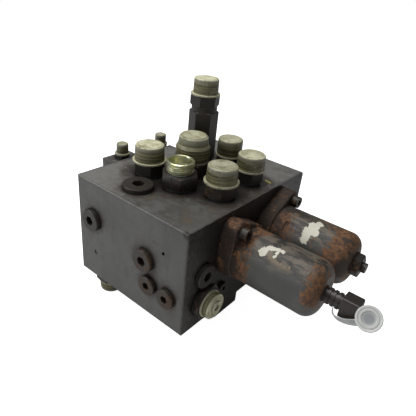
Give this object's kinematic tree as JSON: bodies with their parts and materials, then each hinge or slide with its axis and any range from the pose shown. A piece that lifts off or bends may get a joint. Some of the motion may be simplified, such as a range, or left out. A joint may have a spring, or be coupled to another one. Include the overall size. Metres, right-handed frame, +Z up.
{
  "type": "swing valve block",
  "caption": "Drilled steel valve block with capped stud couplings and a tall check valve on top, collar plugs in its sides and two solenoid valves in domed housings.",
  "frame": {"origin": "centre of the block's machined bottom face", "axes": "+X along the solenoid housings, +Y to the block's rear, +Z up out of the face with the couplings"},
  "size_m": [0.3469, 0.215, 0.244],
  "materials": {
    "block_paint": "worn grey paint with oily dirt",
    "plug_steel": "painted and rusted steel",
    "black_steel": "black steel with dirt",
    "rusty_steel": "rusty steel",
    "zinc_steel": "zinc plated steel, yellow tint",
    "cap_plastic": "dirty translucent plastic",
    "housing_paint": "grey paint with rust",
    "inner_steel": "ground steel",
    "coil_cast": "moulded coil",
    "seal_rubber": "nitrile rubber",
    "spring_steel": "spring steel",
    "connector_plastic": "brown black plastic",
    "dust_cap_plastic": "pale translucent plastic",
    "contact_brass": "brass contacts"
  },
  "bodies": {
    "block": {"manifold_block": "block_paint", "top_port_plug": "plug_steel", "half_inch_plugs": "plug_steel", "three_eighths_plugs": "plug_steel", "pilot_gallery_plug": "plug_steel", "plug_seal_rings": "seal_rubber", "port_b_stud": "zinc_steel", "port_a_stud": "black_steel", "port_d_stud": "rusty_steel", "port_t_stud": "black_steel", "port_p_stud": "black_steel", "port_c_stud": "black_steel", "side_stud": "rusty_steel", "bottom_stud": "black_steel", "stud_seal_rings": "seal_rubber", "check_valve_body": "black_steel", "check_valve_end_stud": "black_steel", "check_spring": "spring_steel", "pilot_block": "block_paint", "pilot_block_screws": "black_steel", "pilot_stud": "black_steel", "pilot_elbow": "black_steel", "support_foot": "black_steel", "foot_screws": "black_steel", "front_connector": "connector_plastic", "connector_terminals": "contact_brass", "connector_dust_cap": "dust_cap_plastic", "rear_end_plug": "rusty_steel", "front_valve_flange": "housing_paint", "front_flange_screws": "rusty_steel", "front_housing": "housing_paint", "front_coil": "coil_cast", "front_core_tube": "inner_steel", "front_valve_sleeve": "inner_steel", "front_flange_seal": "seal_rubber", "front_return_spring": "spring_steel", "rear_valve_flange": "housing_paint", "rear_flange_screws": "rusty_steel", "rear_housing": "housing_paint", "rear_coil": "coil_cast", "rear_core_tube": "inner_steel", "rear_valve_sleeve": "inner_steel", "rear_flange_seal": "seal_rubber", "rear_return_spring": "spring_steel"},
    "port_a_cap": {"port_a_cap": "cap_plastic"},
    "port_d_cap": {"port_d_cap": "cap_plastic"},
    "port_t_cap": {"port_t_cap": "cap_plastic"},
    "port_p_cap": {"port_p_cap": "cap_plastic"},
    "port_c_cap": {"port_c_cap": "cap_plastic"},
    "check_valve_cap": {"check_valve_cap": "cap_plastic"},
    "pilot_stud_cap": {"pilot_stud_cap": "cap_plastic"},
    "pilot_elbow_cap": {"pilot_elbow_cap": "cap_plastic"},
    "bottom_stud_cap": {"bottom_stud_cap": "cap_plastic"},
    "side_stud_cap": {"side_stud_cap": "cap_plastic"},
    "front_spool_body": {"front_spool": "inner_steel", "front_armature": "inner_steel"},
    "rear_spool_body": {"rear_spool": "inner_steel", "rear_armature": "inner_steel"},
    "check_poppet_body": {"check_poppet": "inner_steel"}
  },
  "joints": [
    {"name": "front_spool_slide", "type": "slide", "parent": "block", "child": "front_spool_body", "axis": [-1, 0, 0], "range_m": [0, 0.004], "stiffness_N_per_m": 1500, "springref_m": -0.004, "deforming": ["front_return_spring"]},
    {"name": "rear_spool_slide", "type": "slide", "parent": "block", "child": "rear_spool_body", "axis": [-1, 0, 0], "range_m": [0, 0.004], "stiffness_N_per_m": 1500, "springref_m": -0.004, "deforming": ["rear_return_spring"]},
    {"name": "check_poppet_lift", "type": "slide", "parent": "block", "child": "check_poppet_body", "axis": [0, 0, 1], "range_m": [0, 0.004], "stiffness_N_per_m": 1000, "springref_m": -0.003, "deforming": ["check_spring"]},
    {"name": "port_a_cap_pull", "type": "slide", "parent": "block", "child": "port_a_cap", "axis": [0, 0, 1], "range_m": [0, 0.018]},
    {"name": "port_d_cap_pull", "type": "slide", "parent": "block", "child": "port_d_cap", "axis": [0, 0, 1], "range_m": [0, 0.0176]},
    {"name": "port_t_cap_pull", "type": "slide", "parent": "block", "child": "port_t_cap", "axis": [0, 0, 1], "range_m": [0, 0.016]},
    {"name": "port_p_cap_pull", "type": "slide", "parent": "block", "child": "port_p_cap", "axis": [0, 0, 1], "range_m": [0, 0.0193]},
    {"name": "port_c_cap_pull", "type": "slide", "parent": "block", "child": "port_c_cap", "axis": [0, 0, 1], "range_m": [0, 0.0168]},
    {"name": "check_valve_cap_pull", "type": "slide", "parent": "block", "child": "check_valve_cap", "axis": [0, 0, 1], "range_m": [0, 0.0175]},
    {"name": "pilot_stud_cap_pull", "type": "slide", "parent": "block", "child": "pilot_stud_cap", "axis": [0, 0, 1], "range_m": [0, 0.012]},
    {"name": "pilot_elbow_cap_pull", "type": "slide", "parent": "block", "child": "pilot_elbow_cap", "axis": [0, 0, 1], "range_m": [0, 0.012]},
    {"name": "bottom_stud_cap_pull", "type": "slide", "parent": "block", "child": "bottom_stud_cap", "axis": [0, 0, -1], "range_m": [0, 0.0135]},
    {"name": "side_stud_cap_pull", "type": "slide", "parent": "block", "child": "side_stud_cap", "axis": [1, 0, 0], "range_m": [0, 0.008]}
  ]
}
